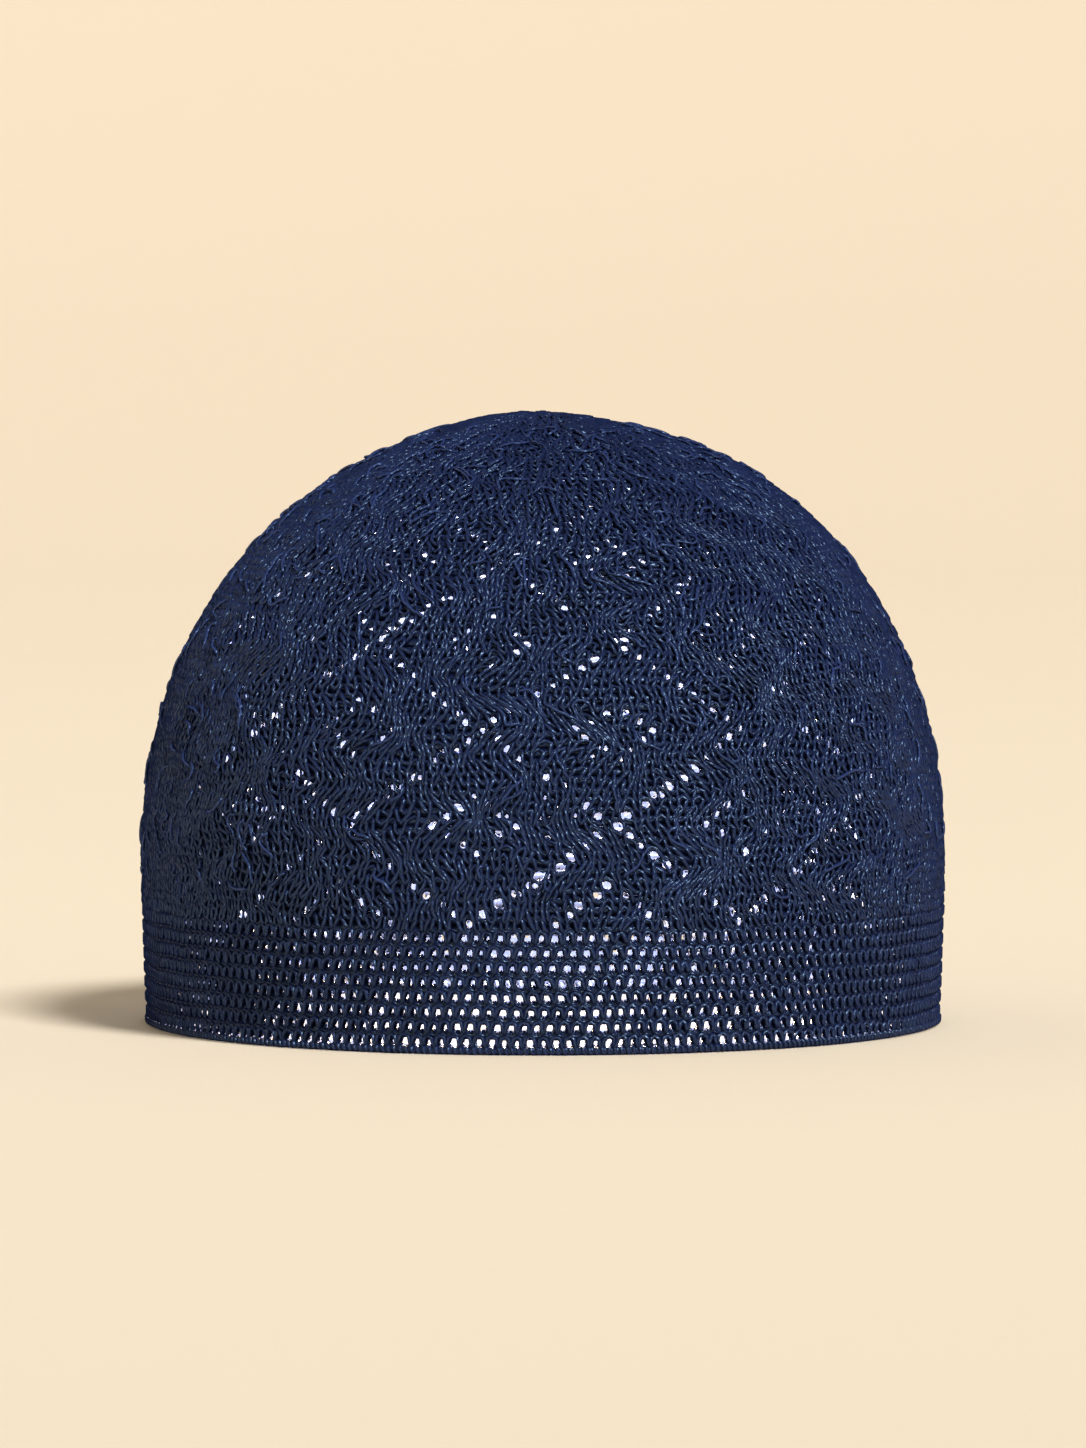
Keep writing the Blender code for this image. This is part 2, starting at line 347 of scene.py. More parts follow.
def spun(path, outward, half_breadth, half_thickness, tone, closed=True, sides=4):
    """Skin of a thread: an ellipse of a few sides carried along the path, its thickness along
    the outward direction. A closed path joins its own start, an open one has its ends capped."""
    if closed:
        ahead = np.roll(path, -1, axis=0) - np.roll(path, 1, axis=0)
    else:
        ahead = np.gradient(path, axis=0)
    beside = np.cross(ahead, outward)
    beside /= np.linalg.norm(beside, axis=1, keepdims=True) + 1e-12
    raised = np.cross(beside, ahead)
    raised /= np.linalg.norm(raised, axis=1, keepdims=True) + 1e-12
    count = len(path)
    angle = 2.0 * np.pi * np.arange(sides) / sides
    breadth = np.broadcast_to(half_breadth, count)[:, None, None]
    thickness = np.broadcast_to(half_thickness, count)[:, None, None]
    ring = (
        path[:, None]
        + raised[:, None] * thickness * np.cos(angle)[None, :, None]
        + beside[:, None] * breadth * np.sin(angle)[None, :, None]
    )
    return skin(ring, tone, closed)


def skin(ring, tone, closed=True):
    """Points, quads, UVs and tones of a tube given as rings of points, with caps if it is open."""
    count, sides = ring.shape[:2]
    path = ring.mean(axis=1)
    lap = np.linalg.norm(np.diff(path, axis=0, append=path[:1]), axis=1)
    walked = np.concatenate([[0.0], np.cumsum(lap)])
    here = np.arange(count if closed else count - 1)[:, None]
    after = (here + 1) % count
    side = np.arange(sides)[None, :]
    beyond = (side + 1) % sides
    quads = np.stack(
        [here * sides + side, here * sides + beyond, after * sides + beyond, after * sides + side],
        axis=-1,
    ).reshape(-1, 4)
    low, high = walked[here] + 0.0 * side, walked[here + 1] + 0.0 * side
    left, right = (side + 0.0 * here) / sides, (side + 1.0 + 0.0 * here) / sides
    corners = [(low, left), (low, right), (high, right), (high, left)]
    place = np.stack([np.stack(corner, axis=-1) for corner in corners], axis=-2).reshape(-1, 4, 2)
    if not closed and sides == 4:
        start, end = np.arange(4)[::-1], (count - 1) * 4 + np.arange(4)
        quads = np.concatenate([quads, start[None], end[None]])
        place = np.concatenate([place, np.zeros((2, 4, 2))])
    return ring.reshape(-1, 3), quads, place, np.repeat(np.broadcast_to(tone, count), sides)


def thread_piece(name, node, skins, material):
    """One mesh object from many thread skins, smooth, with its thread UVs and its tones."""
    points = np.concatenate([part[0] for part in skins])
    starts = np.cumsum([0] + [len(part[0]) for part in skins])[:-1]
    quads = np.concatenate([part[1] + start for part, start in zip(skins, starts)])
    places = np.concatenate([part[2] for part in skins])
    tones = np.concatenate([part[3] for part in skins])
    data = bpy.data.meshes.new(name)
    data.vertices.add(len(points))
    data.vertices.foreach_set("co", points.astype(np.float32).ravel())
    data.loops.add(quads.size)
    data.loops.foreach_set("vertex_index", quads.astype(np.int32).ravel())
    data.polygons.add(len(quads))
    data.polygons.foreach_set("loop_start", np.arange(0, quads.size, 4, dtype=np.int32))
    data.update(calc_edges=True)
    layer = data.uv_layers.new(name="thread")
    layer.uv.foreach_set("vector", places.astype(np.float32).ravel())
    shade = data.attributes.new("tone", "FLOAT", "POINT")
    shade.data.foreach_set("value", tones.astype(np.float32))
    data.shade_smooth()
    data.materials.append(material)
    piece = bpy.data.objects.new(name, data)
    bpy.context.scene.collection.objects.link(piece)
    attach(piece, "root")
    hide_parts(node)
    return piece


DEEP_NAVY = (0.0042, 0.0084, 0.041)
BRIGHT_NAVY = (0.0158, 0.0292, 0.110)
HAZE = (0.36, 0.52, 1.0, 1.0)
PLY_PITCH = 0.0016
PLIES = 3.0
GLOSS_FACING, GLOSS_END, GLOSS_PLAIN = 1.0, 0.62, 0.35
GLOSS_TINT = (0.42, 0.66, 1.0, 1.0)
PATCH_DYE_AND_LIGHT_SHARE = 0.55


def navy_cotton(name, lift=1.0):
    """Mercerised cotton: two navies mixed by each stitch's tone and by slow patches, partly dye
    and partly painted light where ribs would face the light, a gloss that the fibres scatter at
    grazing angles, where a soft haze takes its place, and a bump of plies that wind round the
    thread. A lift below one paints the whole colour darker, a painted shade."""
    material = bpy.data.materials.new(name)
    material.use_nodes = True
    nodes, links = material.node_tree.nodes, material.node_tree.links
    shader = nodes["Principled BSDF"]
    tone = nodes.new("ShaderNodeAttribute")
    tone.attribute_name = "tone"
    place = nodes.new("ShaderNodeTexCoord")
    patches = nodes.new("ShaderNodeTexNoise")
    patches.inputs["Scale"].default_value = 90.0
    patches.inputs["Detail"].default_value = 3.0
    links.new(place.outputs["Object"], patches.inputs["Vector"])
    # Painted light in part: the slow noise patches lighten some stitches as if their ribs faced the
    # light, besides varying the dye.
    blend = nodes.new("ShaderNodeMath")
    blend.operation = "MULTIPLY_ADD"
    blend.inputs[1].default_value = PATCH_DYE_AND_LIGHT_SHARE
    links.new(patches.outputs["Fac"], blend.inputs[0])
    links.new(tone.outputs["Fac"], blend.inputs[2])
    colour = nodes.new("ShaderNodeMix")
    colour.data_type = "RGBA"
    colour.clamp_factor = False
    colour.inputs["A"].default_value = tuple(lift * c for c in DEEP_NAVY) + (1.0,)
    colour.inputs["B"].default_value = tuple(lift * c for c in BRIGHT_NAVY) + (1.0,)
    links.new(blend.outputs[0], colour.inputs["Factor"])
    links.new(colour.outputs["Result"], shader.inputs["Base Color"])
    thread = nodes.new("ShaderNodeUVMap")
    thread.uv_map = "thread"
    split = nodes.new("ShaderNodeSeparateXYZ")
    links.new(thread.outputs["UV"], split.inputs[0])
    along = nodes.new("ShaderNodeMath")
    along.operation = "DIVIDE"
    along.inputs[1].default_value = PLY_PITCH
    links.new(split.outputs["X"], along.inputs[0])
    around = nodes.new("ShaderNodeMath")
    around.operation = "MULTIPLY_ADD"
    around.inputs[1].default_value = PLIES
    links.new(split.outputs["Y"], around.inputs[0])
    links.new(along.outputs[0], around.inputs[2])
    angle = nodes.new("ShaderNodeMath")
    angle.operation = "MULTIPLY"
    angle.inputs[1].default_value = 2.0 * np.pi
    links.new(around.outputs[0], angle.inputs[0])
    wave = nodes.new("ShaderNodeMath")
    wave.operation = "SINE"
    links.new(angle.outputs[0], wave.inputs[0])
    bump = nodes.new("ShaderNodeBump")
    bump.inputs["Strength"].default_value = 0.5
    bump.inputs["Distance"].default_value = 0.00008
    links.new(wave.outputs[0], bump.inputs["Height"])
    links.new(bump.outputs["Normal"], shader.inputs["Normal"])
    facing = nodes.new("ShaderNodeLayerWeight")
    gloss = nodes.new("ShaderNodeMapRange")
    gloss.inputs["From Max"].default_value = GLOSS_END
    gloss.inputs["To Min"].default_value = GLOSS_FACING
    gloss.inputs["To Max"].default_value = 0.0
    links.new(facing.outputs["Facing"], gloss.inputs["Value"])
    shader.inputs["Specular IOR Level"].default_value = GLOSS_PLAIN
    links.new(gloss.outputs["Result"], shader.inputs["Specular IOR Level"])
    shader.inputs["Specular Tint"].default_value = GLOSS_TINT
    shader.inputs["Roughness"].default_value = 0.32
    shader.inputs["Sheen Weight"].default_value = 0.07
    shader.inputs["Sheen Roughness"].default_value = 0.40
    shader.inputs["Sheen Tint"].default_value = HAZE
    return material


front_cotton = navy_cotton("front cotton")
crown_rings = worked_eyelets(
    crown_eyelets[:, 0], round_lengths[crown_eyelets[:, 1].astype(int)], crown_eyelets[:, 2]
)
THREAD = 0.00044
LOOP_SAMPLES = 6
LOOP_RISE = 0.00162
LOOP_SWAY = 0.055
FRONT_DEPTH = 0.00046
HOOK_DEPTH = 0.00010
DIVE = 0.00050
DIVE_SPREAD = 0.00022
STRAY = 0.00030
STRAY_ROUND, STRAY_CLIMB = 0.006, 0.0045
DIVE_ROUND, DIVE_CLIMB, LEAST_DIVE = 0.030, 0.015, 0.0001
DIVE_SEED, STRAY_SEED = 13, 15
ASIDE_SLACK, RISE_SLACK, DEPTH_SLACK, THREAD_SLACK = 0.045, 0.09, 0.00010, 0.07
CROWDING = 1.1
LOOP_TONE, TONE_SLACK = 0.25, 0.15
TOP_CLEAR = 0.0003


def crown_round(number, hand):
    """Skin of one round of front loops. With t going once round for each stitch, along is t plus
    sway sin 2t and up is rise cos t; the ends of the loops dive in by cos t to the fourth, more
    in some patches than in others, and the tops a little more than the feet. The ribs then stray
    from the layer behind them, except beside its eyelets."""
    count, length = int(round_stitches[number]), round_lengths[number]
    pitch = around_at(length) / count
    turn = 2.0 * np.pi * np.arange(count * LOOP_SAMPLES) / LOOP_SAMPLES
    along = turn / (2.0 * np.pi) + LOOP_SWAY * np.sin(2.0 * turn)
    along = along + ASIDE_SLACK * uneven(hand, count, LOOP_SAMPLES)
    up = LOOP_RISE * np.cos(turn) * (1.0 + RISE_SLACK * uneven(hand, count, LOOP_SAMPLES))
    place = (along + round_phases[number]) / count
    level = length + 0.0 * place
    dive = DIVE + DIVE_SPREAD * wander(DIVE_SEED, place, level, DIVE_ROUND, DIVE_CLIMB)
    inward = dive.clip(LEAST_DIVE) * np.cos(turn) ** 4 + HOOK_DEPTH * np.cos(turn)
    inward = inward + DEPTH_SLACK * uneven(hand, count, LOOP_SAMPLES)
    place, climb = as_worked(place, length + up)
    free = 1.0 - (1.0 - parted(place, climb, crown_rings)[2]) / DRAWN_THIN
    stray = wander(STRAY_SEED, place, climb, STRAY_ROUND, STRAY_CLIMB)
    place = place + free * STRAY / full_round * stray
    place, climb, fineness = parted(place, climb, crown_rings)
    climb = np.minimum(climb, fabric_length - TOP_CLEAR)
    path, outward = fabric(place, climb, -FRONT_DEPTH - inward)
    thickness = THREAD * fineness * min(1.0, CROWDING * pitch / STITCH_WIDTH)
    thickness = thickness * (1.0 + THREAD_SLACK * uneven(hand, count, LOOP_SAMPLES))
    tone = LOOP_TONE + TONE_SLACK * uneven(hand, count, LOOP_SAMPLES)
    return spun(path, outward, thickness, thickness, tone)


hand = np.random.default_rng(31)
crown_skins = [crown_round(number, hand) for number in range(len(round_lengths))]
CROWN_ZONES = {
    "crown_lower_rounds": (0, 14),
    "crown_middle_rounds": (14, 29),
    "crown_upper_rounds": (29, 47),
    "crown_top_rounds": (47, len(round_lengths)),
}
for zone, (first, last) in CROWN_ZONES.items():
    thread_piece(zone, "crown", crown_skins[first:last], front_cotton)

# The back of the crown's stitches
# Behind the upright loops lie the horizontal legs of each round, a close layer that shows only
# as cords between the ribs; its cotton is painted darker than the front's, a painted shade. The
# eyelets are round notches where two rounds of it meet.
# Painted shade: the back layer's cotton is the front navy at three quarters, and its tone sits low.
BACK_PAINTED_SHADE = 0.75
shaded_back_cotton = navy_cotton("back cotton painted darker", BACK_PAINTED_SHADE)
BACK_RIDGE, BACK_EDGE = 0.00080, 0.00155
BACK_OVERLAP = 0.00020
BACK_STEP = 0.0042
BACK_TOP_CLEAR, LEAST_BACK = 0.0002, 0.0001
BACK_PAINTED_SHADE_TONE, BACK_TONE_SPREAD = 0.15, 0.1
NOTCH_MARKS = np.array([-1.04, -0.96, -0.50, 0.50, 0.96, 1.04])
FEW_MARKS = np.array([-1.04, -0.58, 0.58, 1.04])


def notch_edge(place, level, eyelets, side):
    """Edge of a layer along one level: it laps over its neighbour, but beside an eyelet it
    follows the eyelet's circle on its own side. Eyelets are rows of turn and radius."""
    offset = np.full(len(place), -BACK_OVERLAP)
    if len(eyelets):
        aside = ((place[:, None] - eyelets[:, 0] + 0.5) % 1.0 - 0.5) * around_at(level)
        circle = np.sqrt((eyelets[:, 1] ** 2 - aside**2).clip(0.0))
        inside = np.abs(aside) < eyelets[:, 1]
        offset = np.where(inside.any(axis=1), np.where(inside, circle, 0.0).max(axis=1), offset)
    return level + side * offset


def back_layer(low, low_eyelets, high, high_eyelets, marks, hand):
    """Skin of the layer between two levels: a flat cord of three sides, its ridge in front."""
    places = [np.arange(0.0, 1.0, BACK_STEP / around_at((low + high) / 2.0))]
    for level, eyelets in ((low, low_eyelets), (high, high_eyelets)):
        if len(eyelets):
            beside = eyelets[:, :1] + marks * eyelets[:, 1:] / around_at(level)
            places.append(beside.ravel() % 1.0)
    place = np.unique(np.round(np.concatenate(places), 6))
    feet = notch_edge(place, low, low_eyelets, 1.0)
    tops = notch_edge(place, high, high_eyelets, -1.0)
    foot, lower = as_worked(place, feet)
    top, upper = as_worked(place, tops)
    upper = np.minimum(upper, fabric_length - BACK_TOP_CLEAR)
    lower = np.minimum(lower, upper - LEAST_BACK)
    middle, level = (foot + top) / 2.0, (lower + upper) / 2.0
    ridge = fabric(middle, level, -BACK_RIDGE)[0]
    bottom = fabric(foot, lower, -BACK_EDGE)[0]
    crest = fabric(top, upper, -BACK_EDGE)[0]
    # Painted shade: a low tone for the layer behind the ribs, with a little random spread.
    tone = BACK_PAINTED_SHADE_TONE + BACK_TONE_SPREAD * hand.random(len(place))
    return skin(np.stack([ridge, bottom, crest], axis=1), tone)


def eyelets_of(number):
    """Chart turn and hole radius of the eyelets on one round of the crown."""
    return crown_eyelets[crown_eyelets[:, 1].astype(int) == number][:, [0, 2]]


hand = np.random.default_rng(32)
back_skins = []
for number in range(len(round_lengths) - 1):
    low, high = round_lengths[number : number + 2]
    below, above = eyelets_of(number), eyelets_of(number + 1)
    back_skins.append(back_layer(low, below, high, above, NOTCH_MARKS, hand))
middle_round = len(back_skins) // 3
inner_layers = bpy.data.collections.new("inner layers")
for name, skins in (
    ("crown_lower_back", back_skins[:middle_round]),
    ("crown_upper_back", back_skins[middle_round:]),
):
    inner_layers.objects.link(thread_piece(name, "crown", skins, shaded_back_cotton))

# The closing of the top
# The first ring of the work, drawn tight, is a small double knot at the very top.
KNOT_RINGS = (
    {"radius": 0.0024, "thread": 0.00055, "out": -0.0008},
    {"radius": 0.0016, "thread": 0.00060, "out": -0.0006},
    {"radius": 0.0006, "thread": 0.00062, "out": -0.0005},
)
KNOT_SAMPLES = 24
knot_skins = []
for ring in KNOT_RINGS:
    t = np.arange(KNOT_SAMPLES) / KNOT_SAMPLES
    path, outward = fabric(t, np.full(KNOT_SAMPLES, fabric_length - ring["radius"]), ring["out"])
    knot_skins.append(spun(path, outward, ring["thread"], ring["thread"], LOOP_TONE))
thread_piece("crown_knot", "crown", knot_skins, front_cotton)

# The loose strands of the crown
# Here and there a strand has slipped and lies over its neighbours as a longer curve, its
# brighter navy a painted highlight.
STRANDS = 760
STRAND_SAMPLES = 9
STRAND_THREAD = 0.00031
STRAND_OUT, STRAND_DIVE = 0.00018, 0.00056
STRAND_SHORTEST, STRAND_LONGEST = 0.0030, 0.0085
STRAND_LOWEST, STRAND_HIGHEST = 0.028, 0.150
STRAND_TOP_CLEAR, STRAND_LEAST_ROUND = 0.004, 0.03
STRAND_LEAN, STRAND_SWING, STRAND_BENDS = 0.55, 1.3, (1.0, 2.2)
STRAND_HIGHLIGHT_TONES = (0.7, 1.6)


def loose_strand(hand):
    """Skin of one slipped strand: its heading swings along it, and both ends dive under."""
    length = hand.uniform(STRAND_SHORTEST, STRAND_LONGEST)
    t = np.linspace(0.0, 1.0, STRAND_SAMPLES)
    lean = hand.normal() * STRAND_LEAN
    swing = hand.uniform(-STRAND_SWING, STRAND_SWING)
    heading = lean + swing * np.sin(np.pi * t * hand.uniform(*STRAND_BENDS))
    step = length / (STRAND_SAMPLES - 1)
    level = hand.uniform(STRAND_LOWEST, STRAND_HIGHEST) + np.cumsum(np.cos(heading)) * step
    around = np.maximum(around_at(level), STRAND_LEAST_ROUND)
    place = hand.random() + np.cumsum(np.sin(heading) * step / around)
    place, level = as_worked(place, np.minimum(level, fabric_length - STRAND_TOP_CLEAR))
    place, level, fineness = parted(place, level, crown_rings)
    dive = STRAND_DIVE * (1.0 - np.sin(np.pi * t) ** 0.5)
    path, outward = fabric(place, level, STRAND_OUT - dive)
    thickness = STRAND_THREAD * fineness
    # Painted highlight: the strand's tone lies well above the loops', brighter than the thread's own
    # navy.
    return spun(path, outward, thickness, thickness, hand.uniform(*STRAND_HIGHLIGHT_TONES), closed=False)


hand = np.random.default_rng(33)
strand_skins = [loose_strand(hand) for _ in range(STRANDS)]
thread_piece("crown_loose_strands", "crown", strand_skins, front_cotton)

# The mesh band
# Eight rounds of open mesh join the crown to the edging. Each stitch is a pair of upright legs
# with a round hole beside it, and a twisted chain line runs between one round and the next.
BAND_ROUNDS = 8
BAND_FIRST = 0.0025
BAND_RISE = 0.0029
BAND_STITCHES = 220
BAND_SHIFT = 0.42
BAND_EYELET, BAND_SPREAD, BAND_CLOSED = 0.00052, 0.21, 0.06
POST_SAMPLES, CHAIN_SAMPLES = 6, 5
POST_RISE = 0.00118
POST_PAIR = 0.100
POST_THREAD = 0.00050
POST_DEPTH, POST_DIVE = 0.00036, 0.00050
CHAIN_THREAD = 0.00046
CHAIN_DEPTH, CHAIN_WIND = 0.00104, 0.00020
CHAIN_TONE_SPREAD = 0.1
POST_ASIDE_SLACK, POST_RISE_SLACK, POST_THREAD_SLACK = 0.05, 0.05, 0.08


def band_eyelets(hand):
    """Chart turn, length and radius of the mesh's holes, a few of which have closed up."""
    rows = []
    for number in range(BAND_ROUNDS):
        turn = (np.arange(BAND_STITCHES) + BAND_SHIFT * number) / BAND_STITCHES
        spread = hand.normal(size=BAND_STITCHES).clip(-SPREAD_LIMIT, SPREAD_LIMIT)
        size = BAND_EYELET * (1.0 + BAND_SPREAD * spread)
        kept = hand.random(BAND_STITCHES) > BAND_CLOSED
        level = np.full(BAND_STITCHES, BAND_FIRST + BAND_RISE * number)
        rows.append(np.stack([turn, level, size], axis=1)[kept])
    return np.concatenate(rows)


mesh_eyelets = band_eyelets(np.random.default_rng(41))
mesh_rings = worked_eyelets(mesh_eyelets[:, 0], mesh_eyelets[:, 1], mesh_eyelets[:, 2])


def band_round(number, hand):
    """Skins of one round of posts, whose legs bunch by pair sin t, and of the chain line over
    it, a small helix."""
    length = BAND_FIRST + BAND_RISE * number
    turn = 2.0 * np.pi * np.arange(BAND_STITCHES * POST_SAMPLES) / POST_SAMPLES
    along = turn / (2.0 * np.pi) + POST_PAIR * np.sin(turn)
    along = along + POST_ASIDE_SLACK * uneven(hand, BAND_STITCHES, POST_SAMPLES)
    slack = 1.0 + POST_RISE_SLACK * uneven(hand, BAND_STITCHES, POST_SAMPLES)
    up = POST_RISE * np.cos(turn) * slack
    place, climb = as_worked((along + BAND_SHIFT * number) / BAND_STITCHES, length + up)
    place, climb, fineness = parted(place, climb, mesh_rings)
    dive = POST_DIVE * np.cos(turn) ** 2
    path, outward = fabric(place, climb, -POST_DEPTH - dive)
    slack = 1.0 + POST_THREAD_SLACK * uneven(hand, BAND_STITCHES, POST_SAMPLES)
    thickness = POST_THREAD * fineness * slack
    tone = LOOP_TONE + TONE_SLACK * uneven(hand, BAND_STITCHES, POST_SAMPLES)
    skins = [spun(path, outward, thickness, thickness, tone)]
    wind = 2.0 * np.pi * np.arange(BAND_STITCHES * CHAIN_SAMPLES) / CHAIN_SAMPLES
    level = length + BAND_RISE / 2.0 + CHAIN_WIND * np.cos(wind)
    place, climb = as_worked((wind / (2.0 * np.pi) + BAND_SHIFT * number) / BAND_STITCHES, level)
    path, outward = fabric(place, climb, -CHAIN_DEPTH + CHAIN_WIND * np.sin(wind))
    # Painted shade: the chain line, set back behind the posts, takes the deepest navy, with a little
    # random spread.
    tone = CHAIN_TONE_SPREAD * uneven(hand, BAND_STITCHES, CHAIN_SAMPLES)
    skins.append(spun(path, outward, CHAIN_THREAD, CHAIN_THREAD, tone, sides=3))
    return skins


hand = np.random.default_rng(42)
post_skins = [part for number in range(BAND_ROUNDS) for part in band_round(number, hand)]
thread_piece("mesh_band_rounds", "mesh_band", post_skins, front_cotton)


def mesh_row(number):
    """Chart turn and radius of the holes on one round of the mesh."""
    level = BAND_FIRST + BAND_RISE * number
    return mesh_eyelets[np.abs(mesh_eyelets[:, 1] - level) < 1e-6][:, [0, 2]]


MESH_FOOT = 0.0011
mesh_levels = [BAND_FIRST + BAND_RISE * number for number in range(BAND_ROUNDS)]
mesh_levels = [MESH_FOOT] + mesh_levels + [FIRST_ROUND]
mesh_rows = [np.zeros((0, 2))] + [mesh_row(number) for number in range(BAND_ROUNDS)] + [eyelets_of(0)]
mesh_back = [
    back_layer(mesh_levels[n], mesh_rows[n], mesh_levels[n + 1], mesh_rows[n + 1], FEW_MARKS, hand)
    for n in range(len(mesh_levels) - 1)
]
inner_layers.objects.link(thread_piece("mesh_band_back", "mesh_band", mesh_back, shaded_back_cotton))

# The rim edging
# One firm round of close slanting loops wound over the lowest chain, a little proud of the band,
# which gives the rim its fine scallops and the flat foot that the cap stands on.
edge_low, edge_high = (np.array(corner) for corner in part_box("rim_edging"))
EDGE_LOOPS = 440
EDGE_THREAD = 0.00042
EDGE_WALL = 0.0008
EDGE_CORD_RISE, EDGE_CORD_DEPTH = 0.0009, 0.0006
EDGE_LIFT, EDGE_WIND = 0.0001, 0.00080
EDGE_SAMPLES, EDGE_SLACK = 6, 0.06
EDGE_TONE, EDGE_TONE_SLACK, EDGE_CORD_TONE = 0.22, 0.14, 0.2
edge_middle = (edge_high[2] - edge_low[2]) / 2.0 + EDGE_LIFT


def edging(hand):
    """Skins of the wound loops, a helix round the rim's middle line, and of the cord inside."""
    t = np.arange(EDGE_LOOPS * EDGE_SAMPLES) / EDGE_SAMPLES
    wind = 2.0 * np.pi * t
    climb = edge_middle + (edge_middle - EDGE_THREAD) * np.cos(wind)
    slack = 1.0 + EDGE_SLACK * uneven(hand, EDGE_LOOPS, EDGE_SAMPLES)
    path, outward = fabric(t / EDGE_LOOPS, climb, -EDGE_WALL + EDGE_WIND * slack * np.sin(wind))
    path[:, 2] = np.maximum(path[:, 2], EDGE_THREAD)
    tone = EDGE_TONE + EDGE_TONE_SLACK * uneven(hand, EDGE_LOOPS, EDGE_SAMPLES)
    wound = spun(path, outward, EDGE_THREAD, EDGE_THREAD, tone)
    t = np.arange(EDGE_LOOPS) / EDGE_LOOPS
    path, outward = fabric(t, edge_middle + 0.0 * t, -EDGE_WALL + 0.0 * t)
    return [wound, spun(path, outward, EDGE_CORD_RISE, EDGE_CORD_DEPTH, EDGE_CORD_TONE)]


edging_skins = edging(np.random.default_rng(51))
inner_layers.objects.link(thread_piece("rim_edging_loops", "rim_edging", edging_skins, front_cotton))

# The floor and backdrop
# A plain warm cream sweep: a flat floor that curves up on every side, without a corner. Its
# cream is painted darker away from the cap, a painted shade for the light's falloff.
SWEEP_FLAT = 3.0
SWEEP_BEND = 4.0
SWEEP_TOP = 4.6
SWEEP_FIRST_RING = 0.25
SWEEP_SIDES, SWEEP_ARC_POINTS = 128, 33
NEAR_CREAM = (0.925, 0.820, 0.655, 1.0)
FAR_CREAM_PAINTED_SHADE = (0.785, 0.680, 0.538, 1.0)
SHADE_FADE_START, SHADE_FADE_END = 0.4, 3.9


def sweep_mesh():
    """A profile turned about the upright axis: flat, then a quarter arc, then upright."""
    arc = np.linspace(0.0, np.pi / 2.0, SWEEP_ARC_POINTS)
    bend = SWEEP_FLAT + SWEEP_BEND * np.sin(arc)
    radius = np.concatenate([[SWEEP_FIRST_RING], bend, [SWEEP_FLAT + SWEEP_BEND]])
    height = np.concatenate([[0.0], SWEEP_BEND * (1.0 - np.cos(arc)), [SWEEP_TOP]])
    around = 2.0 * np.pi * np.arange(SWEEP_SIDES) / SWEEP_SIDES
    ring = np.stack(
        [
            radius[:, None] * np.sin(around),
            radius[:, None] * np.cos(around),
            height[:, None] + 0.0 * around,
        ],
        axis=-1,
    ).reshape(-1, 3)
    here, side = np.arange(len(radius) - 1)[:, None] * SWEEP_SIDES, np.arange(SWEEP_SIDES)[None, :]
    after, beyond = here + SWEEP_SIDES, (side + 1) % SWEEP_SIDES
    quads = np.stack([here + side, here + beyond, after + beyond, after + side], axis=-1)
    middle = list(range(SWEEP_SIDES - 1, -1, -1))
    data = bpy.data.meshes.new("sweep")
    data.from_pydata(ring.tolist(), [], quads.reshape(-1, 4).tolist() + [middle])
    data.shade_smooth()
    return data


def cream_paper():
    """Matt cream paper with a very faint tooth, from the near cream to a darker far cream, a painted
    shade away from the cap.
    """
    material = bpy.data.materials.new("cream paper")
    material.use_nodes = True
    nodes, links = material.node_tree.nodes, material.node_tree.links
    shader = nodes["Principled BSDF"]
    shader.inputs["Roughness"].default_value = 0.95
    shader.inputs["Specular IOR Level"].default_value = 0.1
    place = nodes.new("ShaderNodeTexCoord")
    reach = nodes.new("ShaderNodeVectorMath")
    reach.operation = "LENGTH"
    links.new(place.outputs["Object"], reach.inputs[0])
    fade = nodes.new("ShaderNodeMapRange")
    fade.inputs["From Min"].default_value = SHADE_FADE_START
    fade.inputs["From Max"].default_value = SHADE_FADE_END
    links.new(reach.outputs["Value"], fade.inputs["Value"])
    # Painted shade: the cream darkens with distance from the cap, standing for the light's falloff.
    cream = nodes.new("ShaderNodeMix")
    cream.data_type = "RGBA"
    cream.inputs["A"].default_value = NEAR_CREAM
    cream.inputs["B"].default_value = FAR_CREAM_PAINTED_SHADE
    links.new(fade.outputs["Result"], cream.inputs["Factor"])
    links.new(cream.outputs["Result"], shader.inputs["Base Color"])
    tooth = nodes.new("ShaderNodeTexNoise")
    tooth.inputs["Scale"].default_value = 900.0
    links.new(place.outputs["Object"], tooth.inputs["Vector"])
    bump = nodes.new("ShaderNodeBump")
    bump.inputs["Strength"].default_value = 0.04
    bump.inputs["Distance"].default_value = 0.0002
    links.new(tooth.outputs["Fac"], bump.inputs["Height"])
    links.new(bump.outputs["Normal"], shader.inputs["Normal"])
    return material


sweep = bpy.data.objects.new("sweep", sweep_mesh())
sweep.data.materials.append(cream_paper())
bpy.context.scene.collection.objects.link(sweep)

# The light
# A large soft key from the front right and above, the light of the cream room, and two lamps
# inside: a strong one, linked to the inner layers and the edging alone, that overexposes them to
# white behind the eyelets, and a weak one that lights the floor inside the rim.
KEY_AZIMUTH, KEY_ELEVATION = np.radians(34.0), np.radians(50.0)
KEY_STRENGTH = 2.75
KEY_SOFTNESS = np.radians(14.0)
KEY_DISTANCE = 3.0
KEY_COLOUR = (1.0, 0.985, 0.96)
ROOM_LIGHT, ROOM_COLOUR = 0.28, (1.0, 0.97, 0.92, 1.0)
INNER_HEIGHT, INNER_RADIUS = 0.052, 0.020
INNER_LAMPS = (
    {"name": "inner lamp", "power": 44.0, "colour": (1.0, 0.62, 0.30), "linked": True},
    {"name": "inner floor lamp", "power": 0.14, "colour": (1.0, 0.90, 0.80), "linked": False},
)


def aimed(place, target):
    """Rotation that points an object's -Z from its place at a target."""
    return Vector(np.array(target) - np.array(place)).to_track_quat("-Z", "Y").to_euler()


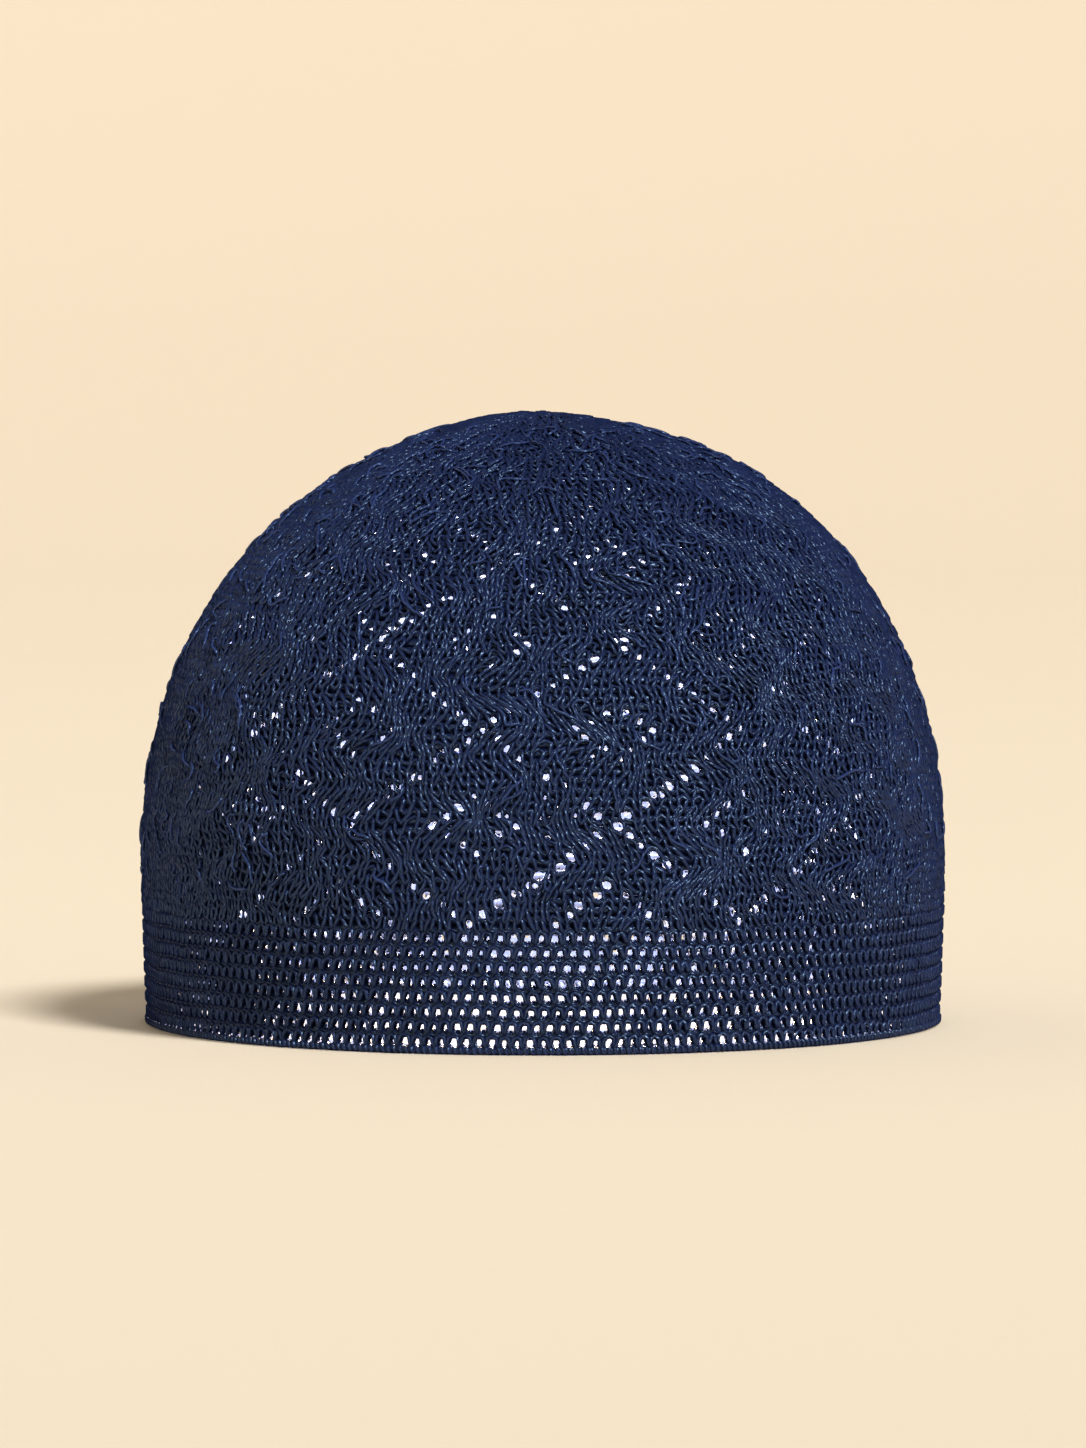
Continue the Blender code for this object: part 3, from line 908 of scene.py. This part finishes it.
key = bpy.data.lights.new("key", "SUN")
key.energy = KEY_STRENGTH
key.angle = KEY_SOFTNESS
key.color = KEY_COLOUR
key_stand = bpy.data.objects.new("key", key)
key_stand.location = KEY_DISTANCE * np.array(
    [
        np.sin(KEY_AZIMUTH) * np.cos(KEY_ELEVATION),
        -np.cos(KEY_AZIMUTH) * np.cos(KEY_ELEVATION),
        np.sin(KEY_ELEVATION),
    ]
)
key_stand.rotation_euler = aimed(key_stand.location, np.zeros(3))
bpy.context.scene.collection.objects.link(key_stand)

for lamp in INNER_LAMPS:
    inner = bpy.data.lights.new(lamp["name"], "POINT")
    inner.shadow_soft_size = INNER_RADIUS
    inner.energy = lamp["power"]
    inner.color = lamp["colour"]
    inner_stand = bpy.data.objects.new(lamp["name"], inner)
    inner_stand.location = (0.0, 0.0, INNER_HEIGHT)
    bpy.context.scene.collection.objects.link(inner_stand)
    if lamp["linked"]:
        inner_stand.light_linking.receiver_collection = inner_layers

world = bpy.data.worlds.new("studio air")
world.use_nodes = True
world.node_tree.nodes["Background"].inputs["Color"].default_value = ROOM_COLOUR
world.node_tree.nodes["Background"].inputs["Strength"].default_value = ROOM_LIGHT
bpy.context.scene.world = world
bpy.context.scene.view_settings.view_transform = "Standard"

# The camera
# Straight in front and low, close to the photograph's view but above the floor.
CAP_MIDDLE = np.array([0.0, 0.0, 0.06])
CAMERA_DISTANCE = 2.2
CAMERA_ELEVATION = np.radians(2.5)
FRAME_SHARE = 0.74
IMAGE_WIDTH, IMAGE_HEIGHT = 1086, 1448
SENSOR_WIDTH = 36.0
camera_data = bpy.data.cameras.new("camera")
camera = bpy.data.objects.new("camera", camera_data)
away = np.array([0.0, -np.cos(CAMERA_ELEVATION), np.sin(CAMERA_ELEVATION)])
camera.location = CAP_MIDDLE + CAMERA_DISTANCE * away
camera.rotation_euler = aimed(camera.location, CAP_MIDDLE)
view_width = 2.0 * half_width / FRAME_SHARE
camera_data.sensor_width = SENSOR_WIDTH
camera_data.lens = SENSOR_WIDTH * CAMERA_DISTANCE / (view_width * IMAGE_HEIGHT / IMAGE_WIDTH)
camera_data.clip_start = 0.05
bpy.context.scene.collection.objects.link(camera)
bpy.context.scene.camera = camera
